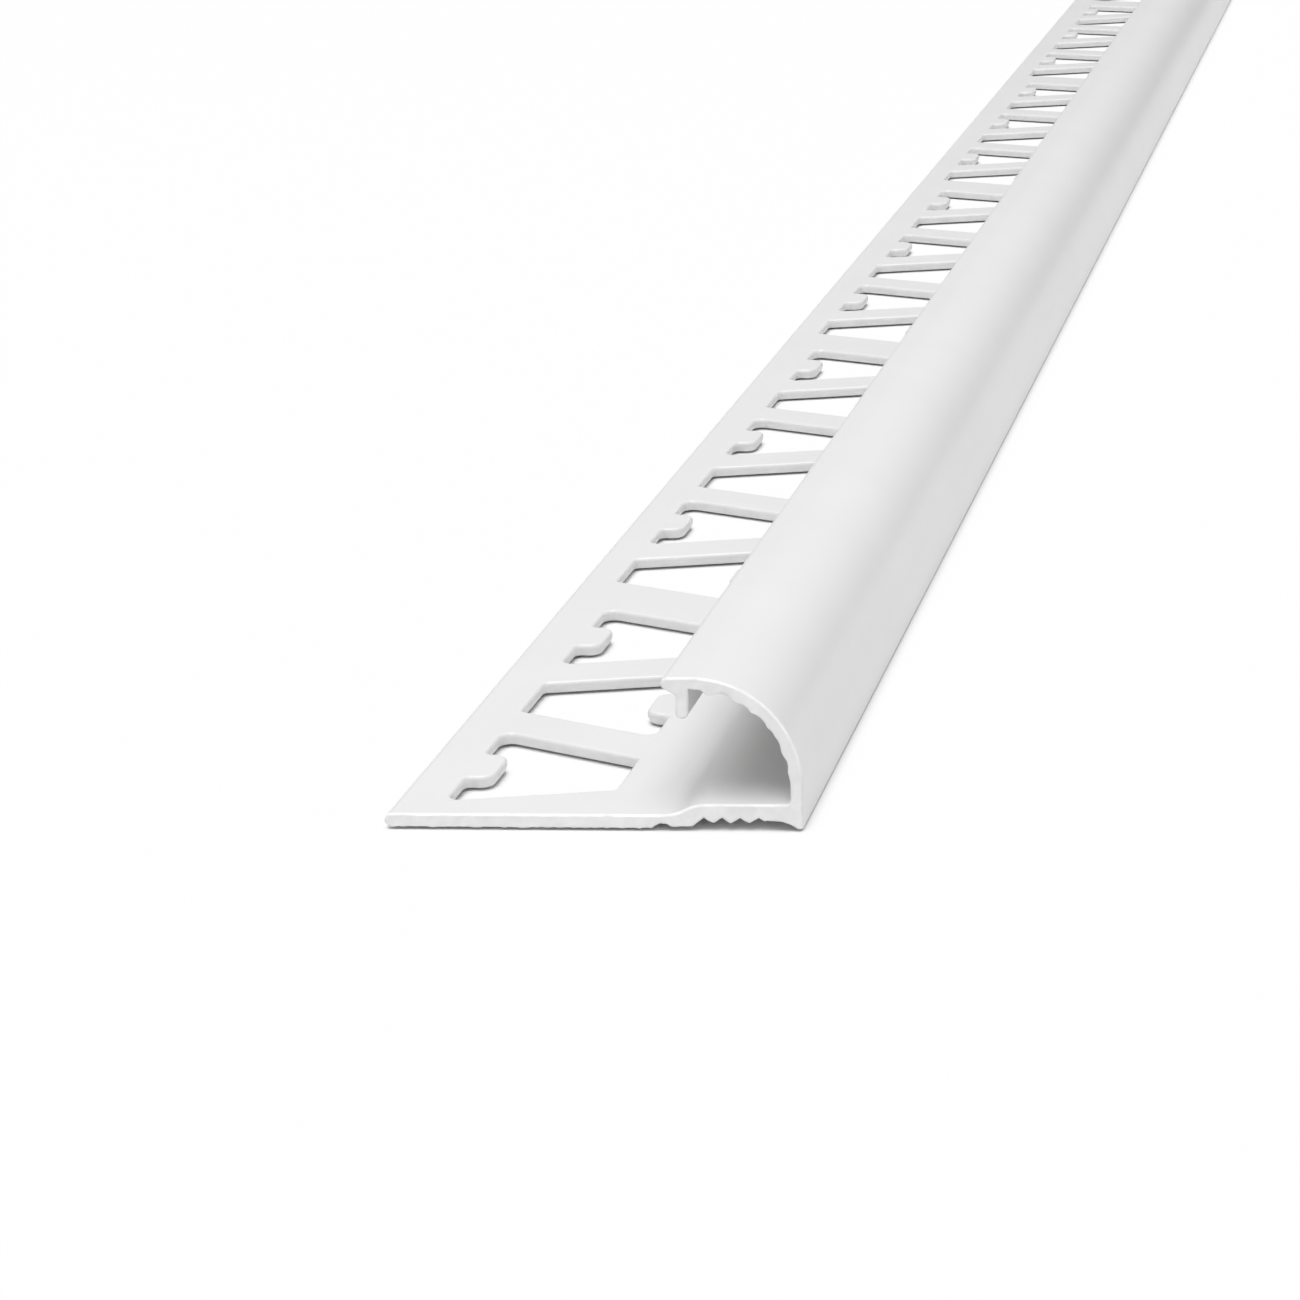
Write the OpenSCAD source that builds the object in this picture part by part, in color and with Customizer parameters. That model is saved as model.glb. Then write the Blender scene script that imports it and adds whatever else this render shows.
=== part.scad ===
// Quarter-round tile edge trim: one extruded strip of white PVC with a punched anchoring leg.
// It lies on its leg. X runs across it, from the leg to the rounded edge, Y runs along its
// length and Z is up. The origin is on the floor, under the middle of the strip.

/* [Stock] */
// Length of the strip
length = 1000; // [300:50:2500]
// Thickness of the tile that the trim finishes
tile_t = 10; // [9:0.5:15]

/* [Leg] */
// Width of the flat leg in front of the nose, where the tile is bedded
leg_w = 20; // [18:0.5:30]
// Thickness of the leg
leg_t = 1; // [0.8:0.1:1.4]
// Thickness of the pad under the rounded edge
pad_t = 1.8; // [1.6:0.1:2.4]
// Distance over which the leg thickens to the pad
ramp_run = 3.2; // [2:0.1:4]

/* [Rounded edge] */
// Outer radius of the quarter round
round_r = 8; // [7:0.25:9]
// Thickness of the wall of the quarter round
wall = 0.9; // [0.7:0.05:1.2]
// Flat of the crown, from the tip of the nose to the start of the round
crown_w = 2; // [1.9:0.1:3]
// Radius in the corner where the wall meets the pad
corner_r = 0.3; // [0.1:0.05:0.5]

/* [Nose and lip] */
// Overhang of the nose past the lip
nose_w = 1.05; // [0.8:0.05:1.2]
// Radius of the tip of the nose
nose_r = 0.45; // [0.3:0.05:0.55]
// Depth of the nose where it meets the lip
nose_depth = 1.3; // [1.15:0.05:1.8]
// Depth of the lip below the crown
lip_depth = 3; // [2.2:0.1:3.6]
// Thickness of the lip
lip_t = 0.9; // [0.6:0.05:1.05]

/* [Underside] */
// Number of keying grooves under the pad
groove_count = 4; // [2:1:4]
// Spacing of the keying grooves
groove_pitch = 1.3; // [1:0.05:1.4]
// Height of the top of each groove above the floor
groove_top = 0.7; // [0.6:0.05:0.9]
// Height of the ridges between the grooves above the floor
ridge_h = 0.4; // [0.3:0.05:0.5]
// Distance from the last groove to the outer face
groove_inset = 3.15; // [2.9:0.05:3.4]
// Height of the hollow beside the foot
cove_h = 0.6; // [0.4:0.05:0.8]
// Width of the hollow beside the foot
cove_w = 1.75; // [1.5:0.05:2]
// Width of the foot under the outer face
foot_w = 0.4; // [0.3:0.05:0.6]
// Width of the bend groove where the leg meets the pad
bend_w = 1.4; // [1:0.1:1.8]
// Height of the bend groove
bend_h = 0.36; // [0.2:0.02:0.44]
// Height of the land between the bend groove and the keying grooves
land_h = 0.13; // [0.05:0.01:0.2]

/* [Anchoring holes] */
// Distance from the edge of the leg to the holes
hole_inset = 3.7; // [3:0.1:4.5]
// Length of a hole across the leg
hole_len = 11.7; // [9:0.1:12.5]
// Width of a hole at its wide end
hole_wide = 14.2; // [12:0.1:15]
// Width of a hole at its narrow end
hole_narrow = 6.5; // [5:0.1:7.5]
// Corner radius at the wide end
wide_r = 0.8; // [0.4:0.1:1]
// Corner radius at the narrow end
narrow_r = 0.4; // [0.2:0.1:0.8]
// Width of the tab in the wide end
tab_w = 4.8; // [3.6:0.1:5.6]
// Length of the tab in the wide end
tab_len = 2; // [1.6:0.1:2.6]
// Corner radius of the tip of the tab
tab_r = 1.2; // [0.6:0.1:1.4]
// Radius at the root of the tab
root_r = 0.5; // [0.2:0.1:0.7]

/* [Punching] */
// Spacing of the holes within one stroke of the punch
hole_pitch = 15; // [14:0.1:18]
// Holes made by one stroke of the punch
stroke_holes = 6; // [2:1:8]
// Extra gap between one stroke and the next
stroke_gap = 3; // [0:0.5:6]
// Turn of each stroke of the punch against the strip, in degrees
stroke_turn = 0.75; // [0:0.05:0.9]
// Holes of the first stroke that are left at the near end
first_stroke = 3; // [1:1:6]
// Distance from the near end to the middle of the first hole
first_hole = 8.5; // [8.5:0.5:20]
// Least plain length at the far end
end_margin = 3; // [2:0.5:10]

/* [Hidden] */
$fn = 64;
// How far a cut runs past the face that it opens
cut = 1;
// Overlap that welds an arc to the straight edges beside it
weld = 0.01;
width = leg_w + crown_w + round_r;
height = leg_t + tile_t;
arc_x = width - round_r;
arc_z = height - round_r;
lip_x = leg_w + nose_w;
ramp_rise = pad_t - leg_t;
ramp_end = leg_w + ramp_run;
ramp_mid = leg_w + ramp_run / 2;
// An S of two equal arcs, tangent to the leg and to the pad
ramp_r = (ramp_run * ramp_run + ramp_rise * ramp_rise) / (4 * ramp_rise);
function unit(v) = v / norm(v);
// A point of a straight edge, moved into the round beside it
function weld_in(point, middle) = point + unit(middle - point) * weld;
// Radius of an arc of the given chord and height
function arc_r(chord, rise) = (chord * chord / 4 + rise * rise) / (2 * rise);
groove_r = arc_r(groove_pitch, groove_top - ridge_h);
bend_r = arc_r(bend_w, bend_h);
cove_r = arc_r(2 * cove_w, cove_h);
groove_last = width - groove_inset;
groove_first = groove_last - (groove_count - 1) * groove_pitch;
// Place of hole i along the strip, with the extra gaps between the strokes before it
function stroke_of(i) = floor((i + stroke_holes - first_stroke) / stroke_holes);
function hole_y(i) = first_hole + i * hole_pitch + stroke_of(i) * stroke_gap;
// Place along the strip of the middle of a whole stroke
function stroke_middle(stroke) =
    first_hole + (first_stroke + (stroke - 1 / 2) * stroke_holes - 1 / 2) * hole_pitch + stroke * stroke_gap;
hole_last = length - end_margin - hole_wide / 2;

// Outline of straight edges with a true arc at each corner, for corners that all bulge outwards
module rounded_outline(corners, radii) {
    count = len(corners);
    rounds = [for (i = [0:count - 1]) let(
        corner = corners[i],
        to_last = unit(corners[(i + count - 1) % count] - corner),
        to_next = unit(corners[(i + 1) % count] - corner),
        half = acos(to_last * to_next) / 2,
        middle = corner + unit(to_last + to_next) * radii[i] / sin(half),
        reach = radii[i] / tan(half)
    ) [middle, corner + to_last * reach, corner + to_next * reach]];
    polygon([for (r = rounds) each [weld_in(r[1], r[0]), weld_in(r[2], r[0])]]);
    for (i = [0:count - 1]) translate(rounds[i][0]) circle(r = radii[i]);
}

// Flat leg with a round outer edge
module leg_section() {
    translate([leg_t / 2, leg_t / 2]) circle(d = leg_t);
    translate([leg_t / 2, 0]) square([width - leg_t / 2, leg_t]);
}

// Pad under the rounded edge, and the S-shaped ramp that leads up to it
module pad_section() {
    translate([ramp_end, 0]) square([width - ramp_end, pad_t]);
    difference() {
        translate([leg_w, 0]) square([ramp_run / 2, pad_t]);
        translate([leg_w, leg_t + ramp_r]) circle(r = ramp_r);
    }
    intersection() {
        translate([ramp_mid, 0]) square([ramp_run / 2, pad_t + cut]);
        translate([ramp_end, pad_t - ramp_r]) circle(r = ramp_r);
    }
}

// Straight outer wall, the quarter round above it and the fillet at its foot
module round_section() {
    translate([width - wall, 0]) square([wall, arc_z]);
    translate([arc_x, arc_z]) difference() {
        intersection() {
            circle(r = round_r);
            square(round_r + cut);
        }
        circle(r = round_r - wall);
    }
    translate([width - wall - corner_r, pad_t]) difference() {
        translate([0, -corner_r]) square([corner_r + wall / 2, 2 * corner_r]);
        translate([0, corner_r]) circle(r = corner_r);
    }
}

// Overhanging nose, whose underside is tangent to its round tip, and the lip behind it
module nose_section() {
    tip = [leg_w + nose_r, height - nose_r];
    heel = [lip_x, height - nose_depth];
    lean = atan2(heel.y - tip.y, heel.x - tip.x) - acos(nose_r / norm(heel - tip));
    touch = tip + (nose_r - weld) * [cos(lean), sin(lean)];
    translate(tip) circle(r = nose_r);
    polygon([
        tip, touch, heel, [lip_x + lip_t / 2, heel.y], [lip_x + lip_t / 2, height - wall],
        [arc_x, height - wall], [arc_x, height], [tip.x, height]
    ]);
    translate([lip_x, height - lip_depth + lip_t / 2]) square([lip_t, lip_depth - lip_t / 2 - wall / 2]);
    translate([lip_x + lip_t / 2, height - lip_depth + lip_t / 2]) circle(d = lip_t);
}

// What is cut from the underside: the bend groove, the land, the keying grooves and the hollow
module underside_cuts() {
    translate([leg_w, bend_h - bend_r]) circle(r = bend_r);
    translate([leg_w, -cut]) square([groove_first - leg_w, cut + land_h]);
    for (i = [0:groove_count - 1]) {
        translate([groove_first + i * groove_pitch, groove_top - groove_r]) circle(r = groove_r);
    }
    translate([width - foot_w - cove_w, cove_h - cove_r]) circle(r = cove_r);
}

// Whole section of the strip, from the edge of the leg at X = 0
module trim_section() {
    difference() {
        union() {
            leg_section();
            pad_section();
            round_section();
            nose_section();
        }
        underside_cuts();
    }
}

// One anchoring hole about its middle, with its wide end and the tab in it towards -X
module anchor_hole() {
    wide_x = -hole_len / 2;
    narrow_x = hole_len / 2;
    difference() {
        rounded_outline(
            [
                [wide_x, -hole_wide / 2], [narrow_x, -hole_narrow / 2],
                [narrow_x, hole_narrow / 2], [wide_x, hole_wide / 2]
            ],
            [wide_r, narrow_r, narrow_r, wide_r]
        );
        rounded_outline(
            [
                [wide_x - 2 * cut, -tab_w / 2], [wide_x + tab_len, -tab_w / 2],
                [wide_x + tab_len, tab_w / 2], [wide_x - 2 * cut, tab_w / 2]
            ],
            [cut, tab_r, tab_r, cut]
        );
        for (side = [0, 1]) mirror([0, side]) translate([wide_x, tab_w / 2]) difference() {
            translate([-cut, -cut]) square(cut + root_r);
            translate([root_r, root_r]) circle(r = root_r);
        }
    }
}

// All the holes along the strip, every second one turned end for end
module punched_holes() {
    for (i = [0:floor(length / hole_pitch)]) {
        if (hole_y(i) <= hole_last) {
            middle = stroke_middle(stroke_of(i));
            translate([hole_inset + hole_len / 2, middle - length / 2, -cut])
                rotate(-stroke_turn) translate([0, hole_y(i) - middle, 0])
                linear_extrude(leg_t + 2 * cut) rotate(180 * (i % 2)) anchor_hole();
        }
    }
}

module trim_profile() {
    color([0.94, 0.94, 0.93]) translate([-width / 2, 0, 0]) difference() {
        rotate([90, 0, 0]) linear_extrude(length, center = true) trim_section();
        punched_holes();
    }
}

trim_profile();
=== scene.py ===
"""Looks of a quarter-round tile edge trim: one strip of white PVC with a punched anchoring leg.

The strip lies on its leg on a pale floor, with X across it, Y along it and Z up. Its section is
drawn with a pen and drawn out along the strip bay by bay. The strip is then sawn and frayed at its
near end, punched, dressed, eased along its edges and burred.
"""

import logging
import math
from dataclasses import dataclass, field
from enum import Enum

import bmesh
import bpy
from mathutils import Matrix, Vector, noise


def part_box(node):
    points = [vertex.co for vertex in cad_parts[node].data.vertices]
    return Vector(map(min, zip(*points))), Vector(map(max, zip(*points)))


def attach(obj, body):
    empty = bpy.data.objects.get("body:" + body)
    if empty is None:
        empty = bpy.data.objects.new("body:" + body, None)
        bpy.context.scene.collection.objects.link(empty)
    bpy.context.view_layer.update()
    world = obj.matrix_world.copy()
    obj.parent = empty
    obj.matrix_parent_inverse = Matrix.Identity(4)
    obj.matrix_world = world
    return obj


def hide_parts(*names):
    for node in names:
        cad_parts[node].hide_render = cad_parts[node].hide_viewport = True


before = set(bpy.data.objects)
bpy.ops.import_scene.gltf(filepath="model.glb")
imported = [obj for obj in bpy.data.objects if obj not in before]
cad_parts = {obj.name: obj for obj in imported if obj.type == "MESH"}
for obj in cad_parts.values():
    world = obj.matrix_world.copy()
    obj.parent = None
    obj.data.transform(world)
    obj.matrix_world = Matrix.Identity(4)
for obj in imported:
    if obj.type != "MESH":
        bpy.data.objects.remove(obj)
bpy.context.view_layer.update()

log = logging.getLogger("edge_trim")

MM = 0.001
NODE = "trim_profile"
BODY = "root"

Point = tuple[float, float]
Span = tuple[float, float]
Triple = tuple[float, float, float]

WHITE = (1, 1, 1, 1)
UP: Triple = (0, 0, 1)
WHOLE_SKY: Span = (-1, 1)


class Plane(Enum):
    """The plane that an outline is drawn in."""

    SECTION = "across the strip, X to the right and Z up"
    LEG = "flat on the leg, X to the right and Y up"


class Turn(Enum):
    """The way that a pen goes round an arc."""

    LEFT = 1
    RIGHT = -1


class Face(Enum):
    """How a face of the strip was made, and the material slot that it takes."""

    EXTRUDED = 0
    SAWN = 1
    PUNCHED = 2
    # Upward faces of the burred bevel at the saw cut: a whitened burr with a painted highlight.
    FRAYED = 3


def only(piece: bpy.types.Object) -> None:
    """Selects one object alone and makes it active.

    Args:
        piece: The object.
    """
    bpy.ops.object.select_all(action="DESELECT")
    piece.select_set(True)
    bpy.context.view_layer.objects.active = piece


def chord_arc_radius(chord: float, rise: float) -> float:
    """Radius of the arc that stands a given height over its chord."""
    return (chord * chord / 4 + rise * rise) / (2 * rise)


def ray_into_circle(start: Point, way: Vector, centre: Point, radius: float) -> Point:
    """Finds where a straight line runs into a circle.

    Args:
        start: Where the line starts, outside the circle.
        way: Its direction.
        centre: Centre of the circle.
        radius: Its radius.

    Returns:
        The first point of the circle on the line.
    """
    way, gap = way.normalized(), Vector(start) - Vector(centre)
    along = gap.dot(way)
    run = -along - math.sqrt(along**2 - gap.length_squared + radius**2)
    return tuple(Vector(start) + way * run)


@dataclass
class OutlinePen:
    """Draws a closed outline: one vertex, extruded along the lines and spun round the arcs.

    Attributes:
        plane: The plane that the outline lies in.
        level: Where that plane lies along its normal.
        sagitta: How far an arc's chords may stand off the true arc.
        merge: Distance within which the end of the outline closes on its start.
        here: Where the pen is.
    """

    plane: Plane
    level: float
    sagitta: float = 0.003 * MM
    merge: float = 0.0005 * MM
    here: Point = field(init=False, default=(0, 0))

    def place(self, point: Point) -> Vector:
        """Finds a point of the plane in the frame.

        Args:
            point: The point, in the plane's own two directions.

        Returns:
            Its place in the frame.
        """
        if self.plane is Plane.SECTION:
            return Vector((point[0], self.level, point[1]))
        return Vector((point[0], point[1], self.level))

    def start(self, name: str, point: Point) -> bpy.types.Object:
        """Puts the pen down.

        Args:
            name: Name of the new object.
            point: Where the outline starts.

        Returns:
            The object that the outline is drawn in, left in edit mode.
        """
        bpy.ops.object.select_all(action="DESELECT")
        bpy.ops.mesh.primitive_plane_add(size=MM, location=(0, 0, 0))
        piece = bpy.context.object
        piece.name = piece.data.name = name
        bpy.ops.object.mode_set(mode="EDIT")
        bpy.ops.mesh.merge(type="CENTER")
        bpy.ops.transform.translate(value=self.place(point))
        self.here = point
        return piece

    def line_to(self, point: Point) -> None:
        """Draws a straight edge.

        Args:
            point: Where the edge ends.
        """
        way = self.place(point) - self.place(self.here)
        bpy.ops.mesh.extrude_region_move(TRANSFORM_OT_translate={"value": way})
        self.here = point

    def arc_to(self, point: Point, centre: Point, turn: Turn) -> None:
        """Draws an arc.

        Args:
            point: Where the arc ends.
            centre: The middle of its circle.
            turn: The way that it goes round.
        """
        out, back = Vector(self.here) - Vector(centre), Vector(point) - Vector(centre)
        swing = math.atan2(back.y, back.x) - math.atan2(out.y, out.x)
        swing = turn.value * (swing * turn.value % math.tau)
        step = 2 * math.acos(1 - self.sagitta / out.length)
        axis = (0, 1, 0) if self.plane is Plane.SECTION else (0, 0, -1)
        bpy.ops.mesh.spin(
            steps=math.ceil(abs(swing) / step), angle=swing, center=self.place(centre), axis=axis
        )
        self.here = point

    def close(self) -> None:
        """Joins the end to the start and fills the outline with a face, left selected."""
        bpy.ops.mesh.select_all(action="SELECT")
        bpy.ops.mesh.remove_doubles(threshold=self.merge)
        bpy.ops.mesh.edge_face_add()


@dataclass
class TrimSection:
    """The section of the strip, measured from the outer edge of the leg and from the floor.

    Attributes:
        width: Whole width of the strip.
        height: Whole height of the strip.
        leg_w: Width of the leg in front of the nose.
        leg_t: Thickness of the leg.
        pad_t: Thickness of the pad under the rounded edge.
        ramp_run: Distance over which the leg thickens to the pad.
        round_r: Outer radius of the quarter round.
        wall: Thickness of its wall.
        corner_r: Radius where the wall meets the pad.
        nose_w: Overhang of the nose past the lip.
        nose_r: Radius of the tip of the nose.
        nose_depth: Depth of the nose where it meets the lip.
        lip_depth: Depth of the lip below the crown.
        lip_t: Thickness of the lip.
        groove_count: Number of keying grooves under the pad.
        groove_pitch: Their spacing.
        groove_top: Height of their pointed tops.
        ridge_h: Height of the ridges between them.
        groove_inset: Distance from the last of them to the outer face.
        groove_lead: Distance from the land to the top of the first of them.
        cove_h: Height of the hollow beside the foot.
        cove_w: Width of that hollow.
        foot_w: Width of the foot under the outer face.
        bend_w: Width of the bend groove where the leg meets the pad.
        bend_h: Height of the bend groove.
        land_h: Height of the land between the bend groove and the keying grooves.
    """

    width: float
    height: float
    leg_w: float = 20 * MM
    leg_t: float = 1 * MM
    pad_t: float = 1.8 * MM
    ramp_run: float = 3.2 * MM
    round_r: float = 8 * MM
    wall: float = 0.9 * MM
    corner_r: float = 0.3 * MM
    nose_w: float = 1.05 * MM
    nose_r: float = 0.45 * MM
    nose_depth: float = 1.3 * MM
    lip_depth: float = 3 * MM
    lip_t: float = 0.9 * MM
    groove_count: int = 4
    groove_pitch: float = 1.3 * MM
    groove_top: float = 0.78 * MM
    ridge_h: float = 0.4 * MM
    groove_inset: float = 3.15 * MM
    groove_lead: float = 0.8 * MM
    cove_h: float = 0.6 * MM
    cove_w: float = 1.75 * MM
    foot_w: float = 0.4 * MM
    bend_w: float = 1.4 * MM
    bend_h: float = 0.36 * MM
    land_h: float = 0.13 * MM

    def draw(self, name: str, near: float) -> bpy.types.Object:
        """Draws the whole section as one face at the near end.

        Args:
            name: Name of the strip.
            near: Where the near end is along the strip.

        Returns:
            The strip, left in edit mode with its first face selected.
        """
        pen = OutlinePen(Plane.SECTION, near)
        strip = pen.start(name, (self.leg_t / 2, 0))
        self.draw_underside(pen)
        self.draw_outer_face(pen)
        self.draw_nose(pen)
        self.draw_hollow(pen)
        self.draw_leg_top(pen)
        pen.close()
        return strip

    def draw_underside(self, pen: OutlinePen) -> None:
        """Draws the bend groove, the land, the keying grooves and the hollow beside the foot.

        Args:
            pen: The pen, at the outer edge of the leg.
        """
        bend_r = chord_arc_radius(self.bend_w, self.bend_h)
        bend = (self.leg_w, self.bend_h - bend_r)
        land_start = self.leg_w + math.sqrt(bend_r**2 - (self.land_h - bend[1]) ** 2)
        pen.line_to((self.leg_w - self.bend_w / 2, 0))
        pen.arc_to((land_start, self.land_h), bend, Turn.RIGHT)

        flank = Vector((self.groove_pitch / 2, self.ridge_h - self.groove_top))
        last = self.width - self.groove_inset
        tops = [last - i * self.groove_pitch for i in reversed(range(self.groove_count))]
        pen.line_to((tops[0] - self.groove_lead, self.land_h))
        for top in tops[:-1]:
            pen.line_to((top, self.groove_top))
            pen.line_to((top + flank.x, self.ridge_h))
        pen.line_to((last, self.groove_top))

        cove_r = chord_arc_radius(2 * self.cove_w, self.cove_h)
        foot_x = self.width - self.foot_w
        cove = (foot_x - self.cove_w, self.cove_h - cove_r)
        pen.line_to(ray_into_circle(pen.here, flank, cove, cove_r))
        pen.arc_to((foot_x, 0), cove, Turn.RIGHT)

    def draw_outer_face(self, pen: OutlinePen) -> None:
        """Draws the foot, the straight outer wall, the quarter round and the flat of the crown.

        Args:
            pen: The pen, at the inner side of the foot.
        """
        centre = (self.width - self.round_r, self.height - self.round_r)
        pen.line_to((self.width, 0))
        pen.line_to((self.width, centre[1]))
        pen.arc_to((centre[0], self.height), centre, Turn.LEFT)
        pen.line_to((self.leg_w + self.nose_r, self.height))

    def draw_nose(self, pen: OutlinePen) -> None:
        """Draws the round tip of the nose, its sloping underside and the lip behind it.

        Args:
            pen: The pen, at the top of the nose.
        """
        tip = Vector((self.leg_w + self.nose_r, self.height - self.nose_r))
        heel = Vector((self.leg_w + self.nose_w, self.height - self.nose_depth))
        slope = heel - tip
        lean = math.atan2(slope.y, slope.x) - math.acos(self.nose_r / slope.length)
        touch = tip + self.nose_r * Vector((math.cos(lean), math.sin(lean)))
        pen.arc_to(tuple(touch), tuple(tip), Turn.LEFT)
        pen.line_to(tuple(heel))

        lip_end = self.height - self.lip_depth + self.lip_t / 2
        pen.line_to((heel.x, lip_end))
        pen.arc_to((heel.x + self.lip_t, lip_end), (heel.x + self.lip_t / 2, lip_end), Turn.LEFT)
        pen.line_to((heel.x + self.lip_t, self.height - self.wall))

    def draw_hollow(self, pen: OutlinePen) -> None:
        """Draws the inside of the quarter round, down to the pad.

        Args:
            pen: The pen, where the lip meets the crown.
        """
        centre = (self.width - self.round_r, self.height - self.round_r)
        inner_x = self.width - self.wall
        corner = (inner_x - self.corner_r, self.pad_t + self.corner_r)
        pen.line_to((centre[0], self.height - self.wall))
        pen.arc_to((inner_x, centre[1]), centre, Turn.RIGHT)
        pen.line_to((inner_x, corner[1]))
        pen.arc_to((corner[0], self.pad_t), corner, Turn.RIGHT)

    def draw_leg_top(self, pen: OutlinePen) -> None:
        """Draws the pad, the S of the ramp, the top of the leg and its round outer edge.

        Args:
            pen: The pen, at the foot of the quarter round.
        """
        rise = self.pad_t - self.leg_t
        ramp_r = (self.ramp_run**2 + rise**2) / (4 * rise)
        ramp_end = self.leg_w + self.ramp_run
        middle = (self.leg_w + self.ramp_run / 2, self.leg_t + rise / 2)
        edge = self.leg_t / 2
        pen.line_to((ramp_end, self.pad_t))
        pen.arc_to(middle, (ramp_end, self.pad_t - ramp_r), Turn.LEFT)
        pen.arc_to((self.leg_w, self.leg_t), (self.leg_w, self.leg_t + ramp_r), Turn.RIGHT)
        pen.line_to((edge, self.leg_t))
        pen.arc_to((edge, 0), (edge, edge), Turn.LEFT)


@dataclass
class PunchedHoles:
    """The anchoring holes of the leg, made by strokes of one punch.

    Attributes:
        inset: Distance from the edge of the leg to the holes.
        depth: Length of a hole across the leg.
        wide: Width of a hole at its wide end.
        narrow: Width at its narrow end.
        wide_r: Corner radius at the wide end.
        narrow_r: Corner radius at the narrow end.
        tab_w: Width of the tab in the wide end.
        tab_len: Length of the tab.
        tab_r: Corner radius of the tip of the tab.
        root_r: Radius at the root of the tab.
        pitch: Spacing of the holes within one stroke.
        per_stroke: Holes made by one stroke.
        stroke_gap: Extra gap between one stroke and the next.
        stroke_turn: Turn of each stroke against the strip, in degrees.
        first_stroke: Holes of the first stroke that are left at the near end.
        first_hole: Distance from the near end to the middle of the first hole.
        end_margin: Least plain length at the far end.
        rim_r: Radius of the upper rim, where the punch drew the skin of the leg down.
        rim_steps: Faces across that rim.
        break_h: Height below which the wall broke away from the punch.
        break_out: How far it broke back at the underside.
        sagitta: How far the chords of the outline may stand off its arcs.
        slack: Difference below which two lengths count as the same.
    """

    inset: float = 3.7 * MM
    depth: float = 11.7 * MM
    wide: float = 14.2 * MM
    narrow: float = 6.5 * MM
    wide_r: float = 0.8 * MM
    narrow_r: float = 0.4 * MM
    tab_w: float = 4.8 * MM
    tab_len: float = 2 * MM
    tab_r: float = 1.2 * MM
    root_r: float = 0.5 * MM
    pitch: float = 15 * MM
    per_stroke: int = 6
    stroke_gap: float = 3 * MM
    stroke_turn: float = 0.75
    first_stroke: int = 3
    first_hole: float = 8.5 * MM
    end_margin: float = 3 * MM
    rim_r: float = 0.28 * MM
    rim_steps: int = 4
    break_h: float = 0.45 * MM
    break_out: float = 0.2 * MM
    sagitta: float = 0.008 * MM
    slack: float = 0.0005 * MM

    def stroke_of(self, index: int) -> int:
        """Which stroke of the punch made a hole."""
        return (index + self.per_stroke - self.first_stroke) // self.per_stroke

    def distance(self, index: int) -> float:
        """Distance from the near end to the middle of a hole."""
        return self.first_hole + index * self.pitch + self.stroke_of(index) * self.stroke_gap

    def stroke_middle(self, stroke: int) -> float:
        """Distance from the near end to the middle of a whole stroke."""
        holes_before = self.first_stroke + (stroke - 1 / 2) * self.per_stroke - 1 / 2
        return self.first_hole + holes_before * self.pitch + stroke * self.stroke_gap

    def distances(self, length: float) -> list[float]:
        """Lists the holes of a strip.

        Args:
            length: Length of the strip.

        Returns:
            The distance of each hole from the near end.
        """
        most = length - self.end_margin - self.wide / 2 + self.slack
        every = [self.distance(i) for i in range(math.ceil(length / self.pitch))]
        return [distance for distance in every if distance <= most]

    def draw_punch(self, leg_t: float, margin: float, touch: float) -> bpy.types.Object:
        """Makes the punch for one hole, about the middle of the hole.

        Args:
            leg_t: Thickness of the leg.
            margin: How far the punch runs past the faces of the leg.
            touch: How far the drawn rim runs past the upper face.

        Returns:
            The punch, with the wide end and the tab notch towards -X.
        """
        wide_x, narrow_x = -self.depth / 2, self.depth / 2
        slant = math.atan2((self.wide - self.narrow) / 2, self.depth)
        wide_reach = self.wide_r / math.tan(math.pi / 4 - slant / 2)
        narrow_reach = self.narrow_r / math.tan(math.pi / 4 + slant / 2)
        along = Vector((math.cos(slant), math.sin(slant)))
        wide_corner = Vector((wide_x, -self.wide / 2))
        narrow_corner = Vector((narrow_x, -self.narrow / 2))
        slant_start = wide_corner + along * wide_reach
        slant_end = narrow_corner - along * narrow_reach
        wide_y, narrow_y = wide_corner.y + wide_reach, narrow_corner.y + narrow_reach
        root_y = self.tab_w / 2 + self.root_r
        root_x = wide_x + self.root_r
        tab_x = wide_x + self.tab_len
        tip_x, tip_y = tab_x - self.tab_r, self.tab_w / 2 - self.tab_r

        pen = OutlinePen(Plane.LEG, self.break_h, self.sagitta)
        punch = pen.start("punch", (wide_x, -root_y))
        pen.line_to((wide_x, wide_y))
        pen.arc_to(tuple(slant_start), (wide_x + self.wide_r, wide_y), Turn.LEFT)
        pen.line_to(tuple(slant_end))
        pen.arc_to((narrow_x, narrow_y), (narrow_x - self.narrow_r, narrow_y), Turn.LEFT)
        pen.line_to((narrow_x, -narrow_y))
        pen.arc_to((slant_end.x, -slant_end.y), (narrow_x - self.narrow_r, -narrow_y), Turn.LEFT)
        pen.line_to((slant_start.x, -slant_start.y))
        pen.arc_to((wide_x, -wide_y), (wide_x + self.wide_r, -wide_y), Turn.LEFT)
        pen.line_to((wide_x, root_y))
        pen.arc_to((root_x, self.tab_w / 2), (root_x, root_y), Turn.LEFT)
        pen.line_to((tip_x, self.tab_w / 2))
        pen.arc_to((tab_x, tip_y), (tip_x, tip_y), Turn.RIGHT)
        pen.line_to((tab_x, -tip_y))
        pen.arc_to((tip_x, -self.tab_w / 2), (tip_x, -tip_y), Turn.RIGHT)
        pen.line_to((root_x, -self.tab_w / 2))
        pen.arc_to((wide_x, -root_y), (root_x, -root_y), Turn.LEFT)
        pen.close()
        self.draw_ends(punch, leg_t, margin, touch)
        return punch

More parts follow.
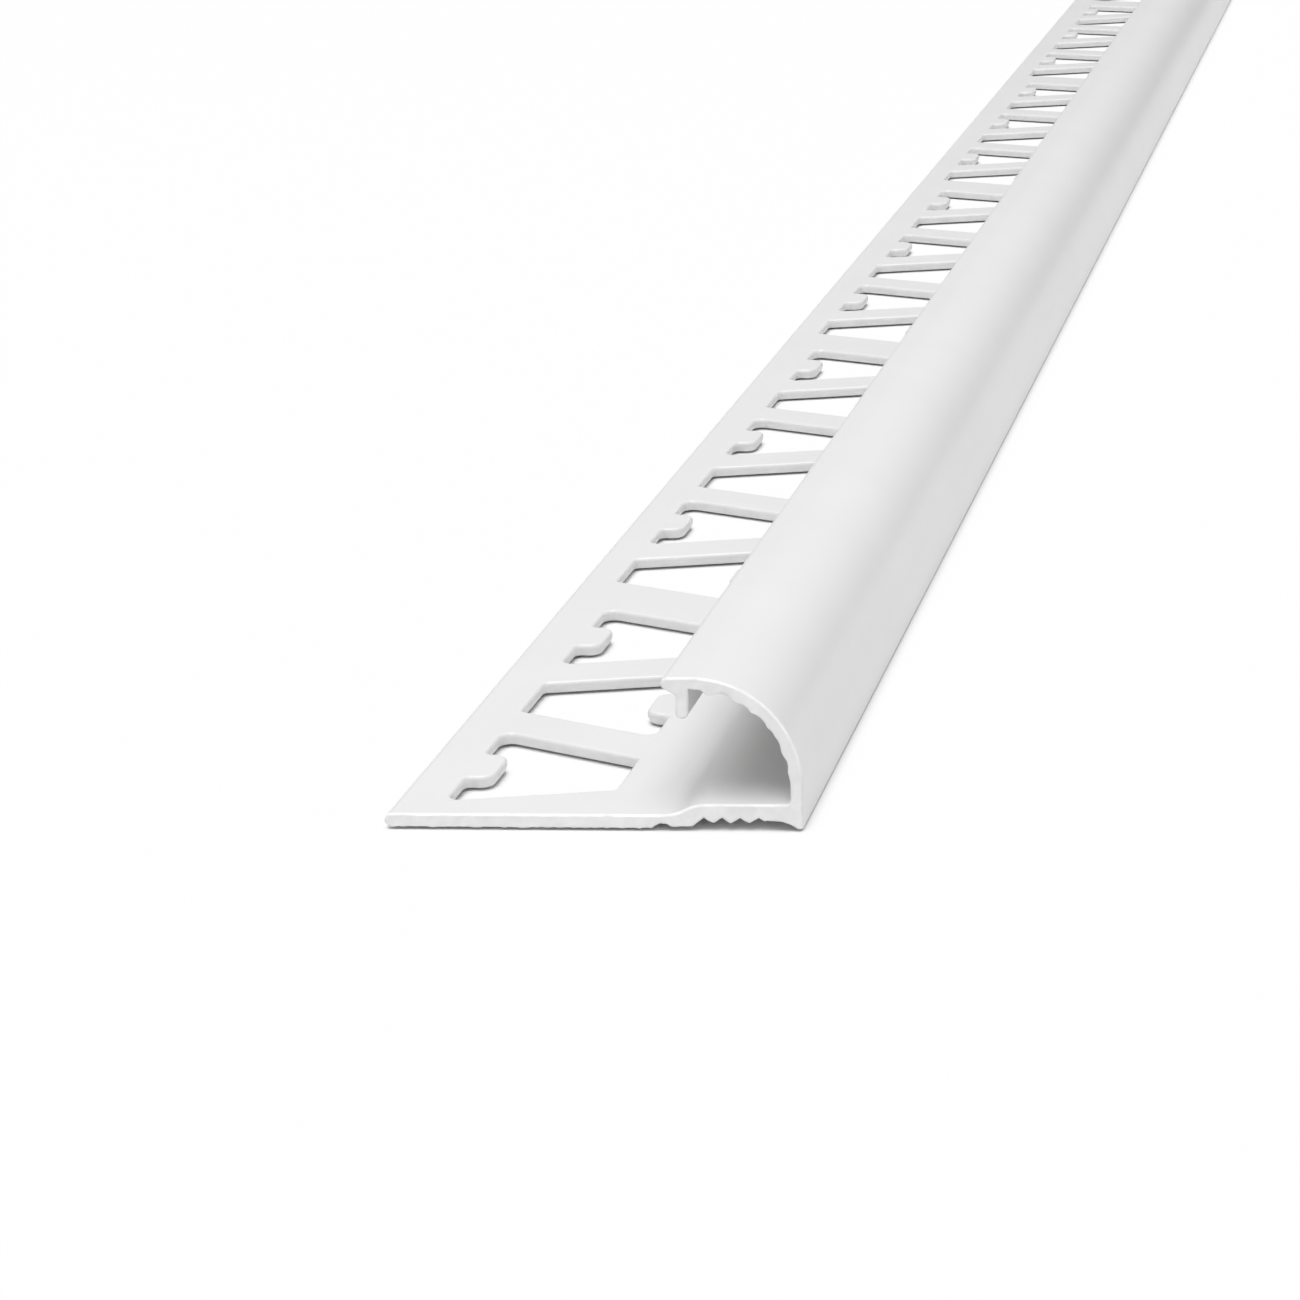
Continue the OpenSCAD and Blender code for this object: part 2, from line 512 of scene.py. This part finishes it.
    def draw_ends(self, punch: bpy.types.Object, leg_t: float, margin: float, touch: float) -> None:
        """Draws the outline of the punch up to its rim and down through the broken wall.

        Args:
            punch: The punch, in edit mode, with its outline filled and selected.
            leg_t: Thickness of the leg.
            margin: How far the punch runs past the faces of the leg.
            touch: How far the drawn rim runs past the upper face.
        """
        rim_z = leg_t + touch - self.rim_r
        bpy.ops.mesh.extrude_region_move(TRANSFORM_OT_translate={"value": (0, 0, rim_z - self.break_h)})
        bpy.ops.mesh.select_all(action="SELECT")
        bpy.ops.mesh.normals_make_consistent(inside=False)
        here = rim_z
        turns = [math.pi / 2 * i / self.rim_steps for i in range(self.rim_steps + 1)]
        for last, turn in zip(turns, turns[1:]):
            there = rim_z + self.rim_r * math.sin(turn)
            self.draw_on(punch, here, there, self.rim_r * (math.cos(last) - math.cos(turn)))
            here = there
        self.draw_on(punch, here, leg_t + margin)
        self.draw_on(punch, self.break_h, -margin, self.break_out * (self.break_h + margin) / self.break_h)
        bpy.ops.mesh.select_all(action="SELECT")
        bpy.ops.mesh.normals_make_consistent(inside=False)
        bpy.ops.object.mode_set(mode="OBJECT")

    def draw_on(self, punch: bpy.types.Object, here: float, there: float, spread: float = 0) -> None:
        """Draws one end of the punch on, straight or wider.

        Args:
            punch: The punch, in edit mode.
            here: Height of the end that is drawn on.
            there: The height that it is drawn on to.
            spread: How much wider it gets on each side.
        """
        bpy.ops.mesh.select_all(action="DESELECT")
        mesh = bmesh.from_edit_mesh(punch.data)
        for face in mesh.faces:
            if all(abs(vert.co.z - here) < self.slack for vert in face.verts):
                face.select_set(True)
        bmesh.update_edit_mesh(punch.data)
        bpy.ops.mesh.extrude_region_move(TRANSFORM_OT_translate={"value": (0, 0, there - here)})
        if spread:
            bpy.ops.transform.shrink_fatten(value=spread, use_even_offset=True)
            bpy.ops.transform.resize(value=(1, 1, 0), center_override=(0, 0, there))

    def set_out(self, punch: bpy.types.Object, edge: float, near: float, length: float) -> bpy.types.Object:
        """Copies the punch to every hole of the leg.

        Args:
            punch: The punch for one hole, about its middle.
            edge: Where the outer edge of the leg is.
            near: Where the near end of the strip is.
            length: Length of the strip.

        Returns:
            All the copies, joined as one object.
        """
        turn = -math.radians(self.stroke_turn)
        copies = []
        for i, distance in enumerate(self.distances(length)):
            middle = self.stroke_middle(self.stroke_of(i))
            off = distance - middle
            only(punch)
            bpy.ops.object.duplicate(linked=False)
            copy = bpy.context.object
            copy.location = (
                edge + self.inset + self.depth / 2 - math.sin(turn) * off,
                near + middle + math.cos(turn) * off,
                0,
            )
            copy.rotation_euler.z = turn + math.pi * (i % 2)
            copies.append(copy)
        bpy.data.objects.remove(punch)
        bpy.ops.object.select_all(action="DESELECT")
        for copy in copies:
            copy.select_set(True)
        bpy.context.view_layer.objects.active = copies[0]
        bpy.ops.object.transform_apply(location=True, rotation=True, scale=True)
        bpy.ops.object.join()
        return bpy.context.object


@dataclass(frozen=True)
class PvcFinish:
    """White PVC with the marks of the way that a face was made; some finishes are also made whiter as
    painted light.

    Attributes:
        name: Name of the material.
        pale: The lighter of its two whites.
        deep: The darker of its two whites.
        roughness: Mean roughness.
        roughness_swing: How far the roughness strays from its mean.
        streak_scale: Marks to the metre along X, Y and Z.
        streak_depth: Depth of the marks.
        cloud_scale: Clouds of colour to the metre.
        cloud_band: Levels of the clouds that are wholly dark and wholly light.
        ior: Index of refraction.
    """

    name: str
    pale: Triple
    deep: Triple
    roughness: float
    roughness_swing: float
    streak_scale: Triple
    streak_depth: float
    cloud_scale: float
    cloud_band: Span = (0.3, 0.7)
    ior: float = 1.53

    def material(self) -> bpy.types.Material:
        """Builds the material.

        Returns:
            A node material on object coordinates, with clouded colour and streaked relief.
        """
        material = bpy.data.materials.new(self.name)
        material.use_nodes = True
        tree = material.node_tree
        shader = tree.nodes["Principled BSDF"]
        shader.inputs["IOR"].default_value = self.ior
        place = tree.nodes.new("ShaderNodeTexCoord").outputs["Object"]
        self.cloud(tree, place, shader)
        self.streak(tree, place, shader)
        return material

    def cloud(self, tree: bpy.types.NodeTree, place: bpy.types.NodeSocket, shader: bpy.types.Node) -> None:
        """Clouds the colour.

        Args:
            tree: The material's nodes.
            place: The coordinates that the clouds lie on.
            shader: The shader that takes the colour.
        """
        clouds = tree.nodes.new("ShaderNodeTexNoise")
        clouds.inputs["Scale"].default_value = self.cloud_scale
        tree.links.new(place, clouds.inputs["Vector"])
        colour = tree.nodes.new("ShaderNodeValToRGB")
        for stop, level, white in zip(colour.color_ramp.elements, self.cloud_band, (self.deep, self.pale)):
            stop.position = level
            stop.color = (*white, 1)
        tree.links.new(clouds.outputs["Fac"], colour.inputs["Fac"])
        tree.links.new(colour.outputs["Color"], shader.inputs["Base Color"])

    def streak(self, tree: bpy.types.NodeTree, place: bpy.types.NodeSocket, shader: bpy.types.Node) -> None:
        """Streaks the roughness and the relief.

        Args:
            tree: The material's nodes.
            place: The coordinates that the streaks lie on.
            shader: The shader that takes them.
        """
        stretch = tree.nodes.new("ShaderNodeMapping")
        stretch.inputs["Scale"].default_value = self.streak_scale
        tree.links.new(place, stretch.inputs["Vector"])
        streaks = tree.nodes.new("ShaderNodeTexNoise")
        streaks.inputs["Scale"].default_value = 1
        tree.links.new(stretch.outputs["Vector"], streaks.inputs["Vector"])
        gloss = tree.nodes.new("ShaderNodeMapRange")
        gloss.inputs["To Min"].default_value = self.roughness - self.roughness_swing
        gloss.inputs["To Max"].default_value = self.roughness + self.roughness_swing
        tree.links.new(streaks.outputs["Fac"], gloss.inputs["Value"])
        tree.links.new(gloss.outputs["Result"], shader.inputs["Roughness"])
        relief = tree.nodes.new("ShaderNodeBump")
        relief.inputs["Distance"].default_value = self.streak_depth
        tree.links.new(streaks.outputs["Fac"], relief.inputs["Height"])
        tree.links.new(relief.outputs["Normal"], shader.inputs["Normal"])


FINISHES: dict[Face, PvcFinish] = {
    Face.EXTRUDED: PvcFinish(
        name="extruded_pvc",
        pale=(0.8, 0.8, 0.798),
        deep=(0.78, 0.78, 0.778),
        roughness=0.3,
        roughness_swing=0.02,
        streak_scale=(1400, 6, 1400),
        streak_depth=0.004 * MM,
        cloud_scale=90,
    ),
    # Sawn ends: whiter than the extruded skin, partly as stress-whitened PVC and partly as painted light
    # standing in for light from the front.
    Face.SAWN: PvcFinish(
        name="sawn_pvc_and_painted_light",
        pale=(0.93, 0.93, 0.926),
        deep=(0.85, 0.85, 0.846),
        roughness=0.62,
        roughness_swing=0.12,
        streak_scale=(2600, 2600, 500),
        streak_depth=0.03 * MM,
        cloud_scale=900,
    ),
    # Walls of the holes: whiter than the extruded skin, partly as stress-whitened PVC and partly as painted
    # light standing in for light from the front.
    Face.PUNCHED: PvcFinish(
        name="punched_pvc_and_painted_light",
        pale=(0.88, 0.88, 0.876),
        deep=(0.82, 0.82, 0.816),
        roughness=0.55,
        roughness_swing=0.1,
        streak_scale=(3000, 3000, 300),
        streak_depth=0.02 * MM,
        cloud_scale=600,
    ),
    # Upward faces of the burr: whiter partly as a stress-whitened burr and partly as a painted highlight
    # from the light above.
    Face.FRAYED: PvcFinish(
        name="burr_pvc_with_painted_highlight",
        pale=(0.96, 0.96, 0.958),
        deep=(0.88, 0.88, 0.878),
        roughness=0.5,
        roughness_swing=0.15,
        streak_scale=(4000, 4000, 4000),
        streak_depth=0.03 * MM,
        cloud_scale=1500,
    ),
}


@dataclass(frozen=True)
class SawCut:
    """The saw cut at the near end, which is neither quite square nor quite upright.

    Attributes:
        middle: Where the cut crosses the middle of the strip's width on the floor.
        skew: Turn of the cut about the upright, in degrees.
        lean: Lean of the cut away from the near end, in degrees.
    """

    middle: Vector
    skew: float = 7.2
    lean: float = 6.3

    @property
    def normal(self) -> Vector:
        """Direction from the cut into the strip."""
        skew, lean = math.radians(self.skew), math.radians(self.lean)
        return Vector((-math.tan(skew), 1, -math.tan(lean))).normalized()

    def depth(self, point: Vector) -> float:
        """How far a point lies behind the cut."""
        return (point - self.middle).dot(self.normal)


@dataclass
class EdgeTrim:
    """The whole strip: its section drawn out along Y, sawn, frayed, punched, dressed, eased and burred.

    Attributes:
        low: Lowest corner of the strip.
        high: Highest corner of the strip.
        saw_margin: Length drawn past the near end for the saw to cut off.
        fray_run: How far behind the saw cut its frayed edge reaches.
        fray_depth: How far the frayed edge strays from the inside of the quarter round.
        fray_grain: Frayed tufts to the metre.
        fray_fine: How much finer its smaller tufts are.
        fray_fine_share: Their size as a share of the larger ones.
        burr: Size of the bevel round the sawn ends, which the saw burrs.
        burr_grain: Longest straight stretch of that bevel.
        burr_rag: How far the burr strays.
        burr_out: Share of its straying that goes straight out of the strip.
        burr_tilt: Least share of a face of the bevel that faces the saw cut.
        highlight_rise: Least upward share of a face of the bevel that is painted whiter, as a whitened burr
            with a painted highlight.
        seed: Start of the random draw for the burr.
        easing: Size of the bevel along the other sharp edges.
        easing_steps: Faces across a bevel.
        sharp: Angle between faces, in degrees, past which an edge is eased.
        punch_margin: How far the punch runs past the faces of the leg.
        touch: Distance within which a point counts as lying on a face.
        square: Least share of a sawn face that faces along the cut.
        cut_slack: How far behind the cut the middle of a sawn face may lie.
        steep: Upward share below which a face inside the leg counts as a wall of a hole.
        length: Length of the strip.
        section: Its section.
        holes: Its holes.
        saw_cut: The cut at its near end.
    """

    low: Vector
    high: Vector
    saw_margin: float = 6 * MM
    fray_run: float = 0.35 * MM
    fray_depth: float = 0.45 * MM
    fray_grain: float = 900
    fray_fine: float = 3
    fray_fine_share: float = 0.5
    burr: float = 0.15 * MM
    burr_grain: float = 0.5 * MM
    burr_rag: float = 0.07 * MM
    burr_out: float = 0.7
    burr_tilt: float = 0.2
    highlight_rise: float = 0.15
    seed: int = 7
    easing: float = 0.06 * MM
    easing_steps: int = 2
    sharp: float = 35
    punch_margin: float = 0.4 * MM
    touch: float = 0.002 * MM
    square: float = 0.97
    cut_slack: float = 0.075 * MM
    steep: float = 0.3
    length: float = field(init=False)
    section: TrimSection = field(init=False)
    holes: PunchedHoles = field(init=False)
    saw_cut: SawCut = field(init=False)

    def __post_init__(self) -> None:
        """Works out the section, the holes and the saw cut of this strip."""
        self.length = self.high.y - self.low.y
        self.section = TrimSection(self.high.x - self.low.x, self.high.z)
        self.holes = PunchedHoles()
        self.saw_cut = SawCut(Vector(((self.low.x + self.high.x) / 2, self.low.y, 0)))

    def build(self) -> bpy.types.Object:
        """Builds and dresses the strip.

        Returns:
            The finished strip.
        """
        strip = self.section.draw("edge_trim", self.low.y - self.saw_margin)
        for face in Face:
            strip.data.materials.append(FINISHES[face].material())
        self.draw_out()
        self.saw()
        self.fray(strip)
        bpy.ops.object.mode_set(mode="OBJECT")
        self.punch(strip)
        self.dress(strip)
        self.ease(strip)
        self.raise_burr_and_paint_highlight(strip)
        self.flatten(strip)
        return strip

    def draw_out(self) -> None:
        """Extrudes the section along the strip, in one bay for each hole, and sets it in place."""
        distances = self.holes.distances(self.length)
        between = [(a + b) / 2 for a, b in zip(distances, distances[1:])]
        stations = [-self.saw_margin, *between, self.length]
        for here, there in zip(stations, stations[1:]):
            bpy.ops.mesh.extrude_region_move(TRANSFORM_OT_translate={"value": (0, there - here, 0)})
        bpy.ops.mesh.select_all(action="SELECT")
        bpy.ops.transform.translate(value=(self.low.x, 0, 0))
        bpy.ops.mesh.normals_make_consistent(inside=False)

    def saw(self) -> None:
        """Saws off the near end, and rings the strip where the frayed edge stops."""
        cut = self.saw_cut
        bpy.ops.mesh.select_all(action="SELECT")
        bpy.ops.mesh.bisect(
            plane_co=cut.middle, plane_no=cut.normal, use_fill=True, clear_inner=True, threshold=self.touch
        )
        bpy.ops.mesh.select_all(action="SELECT")
        ring = cut.middle + cut.normal * self.fray_run
        bpy.ops.mesh.bisect(plane_co=ring, plane_no=cut.normal, threshold=self.touch)

    def fray(self, strip: bpy.types.Object) -> None:
        """Frays the edge of the saw cut round the inside of the quarter round.

        Args:
            strip: The strip, in edit mode.
        """
        section = self.section
        centre = Vector((self.high.x - section.round_r, 0, self.high.z - section.round_r))
        inner_r = section.round_r - section.wall
        mesh = bmesh.from_edit_mesh(strip.data)
        for index in range(len(mesh.verts)):
            mesh.verts.ensure_lookup_table()
            point = mesh.verts[index].co
            arm = Vector((point.x - centre.x, 0, point.z - centre.z))
            on_cut = abs(self.saw_cut.depth(point)) < self.touch
            if on_cut and abs(arm.length - inner_r) < self.touch and arm.x > 0 and arm.z > 0:
                coarse = noise.noise(point * self.fray_grain)
                fine = noise.noise(point * self.fray_grain * self.fray_fine)
                pull = coarse + fine * self.fray_fine_share
                bpy.ops.mesh.select_all(action="DESELECT")
                mesh.verts[index].select_set(True)
                mesh.select_flush_mode()
                bpy.ops.transform.translate(value=arm.normalized() * pull * self.fray_depth)
                mesh = bmesh.from_edit_mesh(strip.data)

    def punch(self, strip: bpy.types.Object) -> None:
        """Punches the holes through the leg.

        Args:
            strip: The strip, in object mode.
        """
        one = self.holes.draw_punch(self.section.leg_t, self.punch_margin, self.touch)
        punches = self.holes.set_out(one, self.low.x, self.low.y, self.length)
        only(strip)
        cut = strip.modifiers.new("punched_holes", "BOOLEAN")
        cut.operation = "DIFFERENCE"
        cut.solver = "EXACT"
        cut.object = punches
        bpy.ops.object.modifier_apply(modifier=cut.name)
        bpy.data.objects.remove(punches)

    def dress(self, strip: bpy.types.Object) -> None:
        """Gives the sawn and punched faces their materials.

        Args:
            strip: The strip, in object mode.
        """
        section = self.section
        for polygon in strip.data.polygons:
            normal, centre = polygon.normal, polygon.center
            across = centre.x - self.low.x
            along_cut = abs(normal.dot(self.saw_cut.normal)) > self.square
            sawn = along_cut and self.saw_cut.depth(centre) < self.cut_slack
            parted = normal.y > self.square and self.high.y - centre.y < self.touch
            over_leg = section.leg_t < across < section.leg_w - section.bend_w / 2
            in_leg = over_leg and self.touch < centre.z < section.leg_t - self.touch
            if sawn or parted:
                polygon.material_index = Face.SAWN.value
            elif in_leg and normal.z < self.steep:
                polygon.material_index = Face.PUNCHED.value

    def number(self) -> None:
        """Numbers the parts of the mesh by their distance from one corner, the same in every run."""
        bpy.context.scene.cursor.location = self.low
        bpy.ops.mesh.select_all(action="SELECT")
        bpy.ops.mesh.sort_elements(type="CURSOR_DISTANCE", elements={"VERT", "EDGE", "FACE"})

    def select_rims(self, strip: bpy.types.Object, longest: float) -> int:
        """Selects the edges round the sawn ends.

        Args:
            strip: The strip, in edit mode.
            longest: Length up to which an edge is passed over.

        Returns:
            How many edges are selected.
        """
        bpy.ops.mesh.select_mode(type="EDGE")
        bpy.ops.mesh.select_all(action="DESELECT")
        mesh = bmesh.from_edit_mesh(strip.data)
        count = 0
        for edge in mesh.edges:
            sawn = [face.material_index == Face.SAWN.value for face in edge.link_faces]
            if any(sawn) and not all(sawn) and edge.calc_length() > longest:
                edge.select_set(True)
                count += 1
        bmesh.update_edit_mesh(strip.data)
        return count

    def ease(self, strip: bpy.types.Object) -> None:
        """Bevels the sharp edges a little, and the edges of the sawn ends more.

        Args:
            strip: The strip, in object mode.
        """
        only(strip)
        bpy.ops.object.shade_smooth_by_angle(angle=math.radians(self.sharp))
        bpy.ops.object.mode_set(mode="EDIT")
        while self.select_rims(strip, self.burr_grain):
            bpy.ops.mesh.subdivide(number_cuts=1)
        self.number()
        share = self.easing / self.burr
        bpy.ops.mesh.select_all(action="DESELECT")
        bpy.ops.mesh.edges_select_sharp(sharpness=math.radians(self.sharp))
        bpy.ops.transform.edge_bevelweight(value=share)
        self.select_rims(strip, 0)
        bpy.ops.transform.edge_bevelweight(value=1 - share)
        bpy.ops.mesh.select_mode(type="VERT")
        bpy.ops.object.mode_set(mode="OBJECT")
        bevel = strip.modifiers.new("eased_edges", "BEVEL")
        bevel.width = self.burr
        bevel.segments = self.easing_steps
        bevel.limit_method = "WEIGHT"
        bevel.use_clamp_overlap = False
        bpy.ops.object.modifier_apply(modifier=bevel.name)

    def raise_burr_and_paint_highlight(self, strip: bpy.types.Object) -> None:
        """Makes the bevel round the saw cut ragged, and paints its upward faces whiter: a whitened burr with
        a painted highlight from the light above.

        Args:
            strip: The strip, in object mode.
        """
        bpy.ops.object.mode_set(mode="EDIT")
        bpy.ops.mesh.select_all(action="DESELECT")
        mesh = bmesh.from_edit_mesh(strip.data)
        rim = set()
        for face in mesh.faces:
            facing = -face.normal.dot(self.saw_cut.normal)
            at_cut = self.saw_cut.depth(face.calc_center_median()) < self.burr
            if at_cut and self.burr_tilt < facing < self.square:
                rim.add(face)
                # Only the upward faces are whitened: a painted highlight on the burr where the light from
                # above falls.
                if face.normal.z > self.highlight_rise:
                    face.material_index = Face.FRAYED.value
        for vert in mesh.verts:
            if rim.issuperset(vert.link_faces):
                vert.select_set(True)
        mesh.select_flush_mode()
        bmesh.update_edit_mesh(strip.data)
        bpy.ops.transform.vertex_random(offset=self.burr_rag, normal=self.burr_out, seed=self.seed)
        bpy.ops.object.mode_set(mode="OBJECT")

    def flatten(self, strip: bpy.types.Object) -> None:
        """Keeps the flat faces of the strip flat in its smooth shading.

        Args:
            strip: The strip, in object mode.
        """
        only(strip)
        flats = strip.modifiers.new("flat_faces", "WEIGHTED_NORMAL")
        flats.keep_sharp = True
        bpy.ops.object.modifier_apply(modifier=flats.name)


@dataclass
class Studio:
    """The pale floor, the soft light and the camera.

    Attributes:
        floor_size: Side of the floor.
        floor_gap: Gap under the strip, which never lies quite flat.
        floor_white: Share of plain white in the open floor as the camera sees it.
        floor_colour: Colour of the floor.
        shade_reach: How near to the strip the floor is shaded by it.
        shade_open: Openness of a place on the floor below which it is in full shade and above
            which it is in the open.
        shade_samples: Rays that measure the openness.
        room_light: Strength of the light from the dim side of the room and from its bright side.
        room_bright: Direction of the bright side.
        horizon_light: Brightness of the horizon in reflections.
        horizon_rise: Sine of the height from which reflections show the room white.
        key_place: Where the large soft lamp is.
        key_aim: The point that it shines at.
        key_size: Its side.
        key_power: Its power in watts.
        camera_place: Where the camera is.
        camera_turn: Its turn about X, Y and Z, in degrees.
        camera_lens: Its focal length in millimetres.
        camera_sensor: Width of its sensor in millimetres.
        camera_near: Distance from which it sees.
    """

    floor_size: float = 30.0
    floor_gap: float = 0.2 * MM
    floor_white: float = 0.95
    floor_colour: Triple = (0.86, 0.86, 0.86)
    shade_reach: float = 1.5 * MM
    shade_open: Span = (0.42, 0.76)
    shade_samples: int = 8
    room_light: Span = (0.12, 0.6)
    room_bright: Triple = (0.8, -0.45, 0)
    horizon_light: float = 0.05
    horizon_rise: float = 0.42
    key_place: Triple = (-0.2, -0.8, 2.3)
    key_aim: Triple = (0, -0.4, 0)
    key_size: float = 1.8
    key_power: float = 48.0
    camera_place: Triple = (0.05741, -0.70058, 0.08526)
    camera_turn: Triple = (70.947, 2.337, 13.875)
    camera_lens: float = 87.11
    camera_sensor: float = 36.0
    camera_near: float = 10 * MM

    def build(self) -> None:
        """Lays the floor, lights it and sets the camera."""
        self.lay_floor()
        self.light_room()
        self.hang_key()
        self.set_camera()
        bpy.context.scene.view_settings.view_transform = "Standard"

    def seen_directly(self, tree: bpy.types.NodeTree) -> bpy.types.NodeSocket:
        """Tells what is seen from what only lights.

        Args:
            tree: The node tree to work in.

        Returns:
            A socket that is 1 for camera, glossy and transmission rays and 0 for the rest.
        """
        path = tree.nodes.new("ShaderNodeLightPath")
        seen = path.outputs["Is Camera Ray"]
        for ray in ("Is Glossy Ray", "Is Transmission Ray"):
            either = tree.nodes.new("ShaderNodeMath")
            either.operation = "MAXIMUM"
            tree.links.new(seen, either.inputs[0])
            tree.links.new(path.outputs[ray], either.inputs[1])
            seen = either.outputs["Value"]
        return seen

    def lay_floor(self) -> None:
        """Lays a plain floor just under the strip."""
        bpy.ops.object.select_all(action="DESELECT")
        bpy.ops.mesh.primitive_plane_add(size=self.floor_size, location=(0, 0, -self.floor_gap))
        floor = bpy.context.object
        floor.name = "floor"
        floor.data.materials.append(self.floor_material())

    def floor_material(self) -> bpy.types.Material:
        """Builds the material of the floor.

        Returns:
            A material that is seen as white in the open and keeps the shade close to the strip.
        """
        material = bpy.data.materials.new("pale_floor")
        material.use_nodes = True
        tree = material.node_tree
        tree.nodes.clear()
        matt = tree.nodes.new("ShaderNodeBsdfDiffuse")
        matt.inputs["Color"].default_value = (*self.floor_colour, 1)
        white = tree.nodes.new("ShaderNodeEmission")
        crevices = tree.nodes.new("ShaderNodeAmbientOcclusion")
        crevices.samples = self.shade_samples
        crevices.inputs["Distance"].default_value = self.shade_reach
        openness = tree.nodes.new("ShaderNodeMapRange")
        openness.interpolation_type = "SMOOTHSTEP"
        openness.inputs["From Min"].default_value = self.shade_open[0]
        openness.inputs["From Max"].default_value = self.shade_open[1]
        openness.inputs["To Max"].default_value = self.floor_white
        tree.links.new(crevices.outputs["AO"], openness.inputs["Value"])
        share = tree.nodes.new("ShaderNodeMath")
        share.operation = "MULTIPLY"
        tree.links.new(self.seen_directly(tree), share.inputs[0])
        tree.links.new(openness.outputs["Result"], share.inputs[1])
        mix = tree.nodes.new("ShaderNodeMixShader")
        tree.links.new(share.outputs["Value"], mix.inputs["Fac"])
        tree.links.new(matt.outputs["BSDF"], mix.inputs[1])
        tree.links.new(white.outputs["Emission"], mix.inputs[2])
        output = tree.nodes.new("ShaderNodeOutputMaterial")
        tree.links.new(mix.outputs["Shader"], output.inputs["Surface"])
        return material

    def light_room(self) -> None:
        """Lights the room softly from all round, dimmer on one side, and shows it pale."""
        world = bpy.data.worlds.new("pale_room")
        bpy.context.scene.world = world
        world.use_nodes = True
        tree = world.node_tree
        lit = tree.nodes["Background"]
        lit.inputs["Color"].default_value = WHITE
        strength = self.sweep(tree, self.room_bright, WHOLE_SKY, self.room_light)
        tree.links.new(strength, lit.inputs["Strength"])
        shown = tree.nodes.new("ShaderNodeBackground")
        shown.inputs["Color"].default_value = WHITE
        rising = self.sweep(tree, UP, (0, self.horizon_rise), (self.horizon_light, 1))
        paler = tree.nodes.new("ShaderNodeMath")
        paler.operation = "MAXIMUM"
        tree.links.new(tree.nodes.new("ShaderNodeLightPath").outputs["Is Camera Ray"], paler.inputs[0])
        tree.links.new(rising, paler.inputs[1])
        tree.links.new(paler.outputs["Value"], shown.inputs["Strength"])
        mix = tree.nodes.new("ShaderNodeMixShader")
        tree.links.new(self.seen_directly(tree), mix.inputs["Fac"])
        tree.links.new(lit.outputs["Background"], mix.inputs[1])
        tree.links.new(shown.outputs["Background"], mix.inputs[2])
        tree.links.new(mix.outputs["Shader"], tree.nodes["World Output"].inputs["Surface"])

    def sweep(self, tree: bpy.types.NodeTree, way: Triple, band: Span, levels: Span) -> bpy.types.NodeSocket:
        """Makes a level that changes across the sky.

        Args:
            tree: The nodes of the world.
            way: Direction in which the level changes.
            band: Where along that direction the change starts and ends.
            levels: The level at the start and at the end.

        Returns:
            A socket with the level for each direction.
        """
        coords = tree.nodes.new("ShaderNodeTexCoord")
        along = tree.nodes.new("ShaderNodeVectorMath")
        along.operation = "DOT_PRODUCT"
        along.inputs[1].default_value = way
        tree.links.new(coords.outputs["Generated"], along.inputs[0])
        level = tree.nodes.new("ShaderNodeMapRange")
        level.inputs["From Min"].default_value = band[0]
        level.inputs["From Max"].default_value = band[1]
        level.inputs["To Min"].default_value = levels[0]
        level.inputs["To Max"].default_value = levels[1]
        tree.links.new(along.outputs["Value"], level.inputs["Value"])
        return level.outputs["Result"]

    def hang_key(self) -> None:
        """Hangs a large soft lamp over the near end, a little to the left and to the front."""
        lamp = bpy.data.lights.new("soft_key", "AREA")
        lamp.size = self.key_size
        lamp.energy = self.key_power
        key = bpy.data.objects.new("soft_key", lamp)
        key.location = self.key_place
        aim = Vector(self.key_aim) - Vector(self.key_place)
        key.rotation_euler = aim.to_track_quat("-Z", "Y").to_euler()
        bpy.context.scene.collection.objects.link(key)

    def set_camera(self) -> None:
        """Sets the camera just in front of the near end, a little above it and to the right."""
        data = bpy.data.cameras.new("camera")
        data.sensor_width = self.camera_sensor
        data.lens = self.camera_lens
        data.clip_start = self.camera_near
        camera = bpy.data.objects.new("camera", data)
        camera.location = self.camera_place
        camera.rotation_euler = [math.radians(angle) for angle in self.camera_turn]
        bpy.context.scene.collection.objects.link(camera)
        bpy.context.scene.camera = camera


def main() -> None:
    """Builds the strip and the studio, and hands the strip to the frame."""
    logging.basicConfig(level=logging.INFO, format="%(name)s: %(message)s")
    Studio().build()
    strip = EdgeTrim(*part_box(NODE)).build()
    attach(strip, BODY)
    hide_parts(NODE)
    log.info("%s: %d faces", strip.name, len(strip.data.polygons))


if __name__ == "__main__":
    main()
